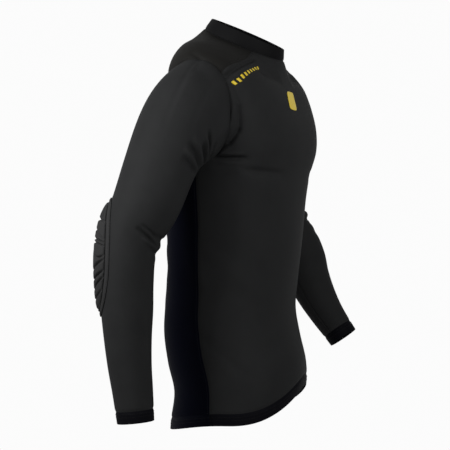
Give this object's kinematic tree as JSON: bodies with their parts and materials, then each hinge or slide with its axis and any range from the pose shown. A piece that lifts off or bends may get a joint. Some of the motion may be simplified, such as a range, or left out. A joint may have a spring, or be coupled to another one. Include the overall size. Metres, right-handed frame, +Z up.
{
  "type": "padded compression shirt",
  "caption": "Long-sleeved stretch shirt with a stand collar, hollow as worn, with a quilted pad on each elbow.",
  "frame": {"origin": "centre of the neck opening at the collar, where the wearer's neck and shoulders hold the shirt up", "axes": "+Z up the wearer's body, -Y the way the wearer faces, +X to the wearer's left"},
  "size_m": [0.6672, 0.2734, 0.7174],
  "materials": {
    "front_knit": "smooth satin stretch knit",
    "back_knit": "smooth satin stretch knit",
    "yoke_knit": "smooth satin stretch knit",
    "pad_knit": "quilted matt knit over foam"
  },
  "bodies": {
    "root": {"front": "front_knit", "hem_front": "front_knit", "sleeve_right": "front_knit", "sleeve_left": "front_knit", "cuff_right": "front_knit", "cuff_left": "front_knit", "back": "back_knit", "hem_back": "back_knit", "yoke": "yoke_knit", "collar": "yoke_knit", "elbow_pad_right": "pad_knit", "elbow_pad_left": "pad_knit", "pad_border_right": "pad_knit", "pad_border_left": "pad_knit"}
  },
  "joints": []
}
